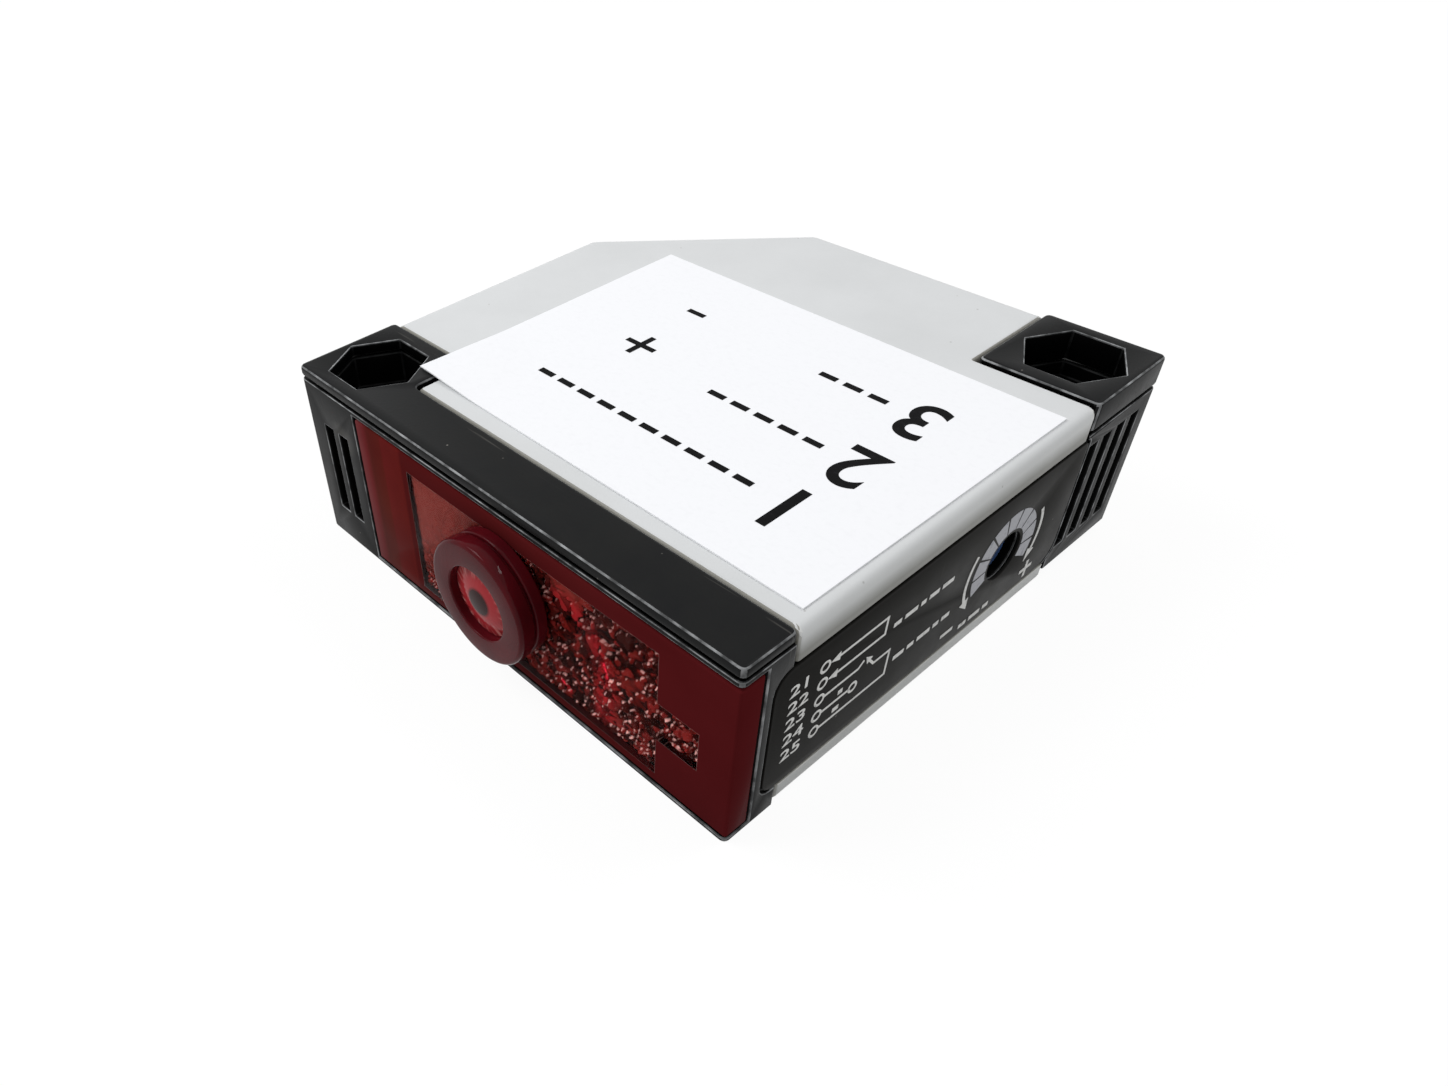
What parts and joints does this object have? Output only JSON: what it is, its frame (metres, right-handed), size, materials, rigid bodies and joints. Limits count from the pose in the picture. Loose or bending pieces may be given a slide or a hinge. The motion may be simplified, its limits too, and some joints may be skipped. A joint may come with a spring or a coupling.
{
  "type": "reflective optical sensor",
  "caption": "Square flat photoelectric sensor in a black and grey case with a red window, flanged lens, screw holes with nut pockets, cut cable corner and turning sensitivity trimmer.",
  "frame": {"origin": "centre of the square lower mounting face, on its plane", "axes": "+Z through the thickness, away from the lower face; the lens looks along -Y, the nameplate is on the +X side, and the cable corner lies between -X and +Y"},
  "size_m": [0.05, 0.0527, 0.0177],
  "materials": {
    "black_abs": "satin moulded ABS",
    "light_grey_abs": "satin moulded ABS",
    "red_acrylic": "polished moulded acrylic",
    "deep_red_acrylic": "polished moulded acrylic",
    "lens_red": "polished lens",
    "pebbled_red": "pebbled moulded surface",
    "nameplate_black": "screen printed satin foil",
    "white_paper": null,
    "black_rubber": "moulded rubber",
    "green_fibreglass": "solder resist on fibreglass",
    "relay_blue": "moulded",
    "capacitor_sleeve": "shrunk sleeve",
    "black_epoxy": "moulded epoxy",
    "tinned_brass": "tinned",
    "clear_epoxy": "cast epoxy",
    "coated_glass": "half-silvered",
    "green_lamp": "cast epoxy",
    "red_lamp": "cast epoxy",
    "cream_nylon": "moulded nylon",
    "blue_nylon": "moulded nylon"
  },
  "bodies": {
    "housing": {"main_case": "black_abs", "frame_plate": "black_abs", "corner_pad": "black_abs", "upper_cover": "light_grey_abs", "lower_cover": "light_grey_abs", "front_window": "red_acrylic", "textured_panel": "pebbled_red", "lens_collar": "deep_red_acrylic", "lens": "lens_red", "lens_retainer": "black_abs", "optical_bench": "black_abs", "half_mirror": "coated_glass", "emitter_led": "clear_epoxy", "receiver_board": "green_fibreglass", "receiver_photodiode": "black_epoxy", "indicator_lamp_green": "green_lamp", "indicator_lamp_red": "red_lamp", "indicator_board": "green_fibreglass", "nameplate": "nameplate_black", "paper_sticker": "white_paper", "cable_bushing": "black_rubber", "cable_clamp": "cream_nylon", "main_board": "green_fibreglass", "output_relay": "relay_blue", "smoothing_capacitor": "capacitor_sleeve", "bridge_rectifier": "black_epoxy", "signal_chip": "black_epoxy", "terminal_header": "tinned_brass", "trimmer_body": "cream_nylon"},
    "trimmer": {"trimmer_rotor": "blue_nylon"}
  },
  "joints": [
    {"name": "sensitivity_turn", "type": "hinge", "parent": "housing", "child": "trimmer", "pos_m": [0.0227, 0.006, 0.0078], "axis": [1, 0, 0], "range_deg": [-120, 120]}
  ]
}
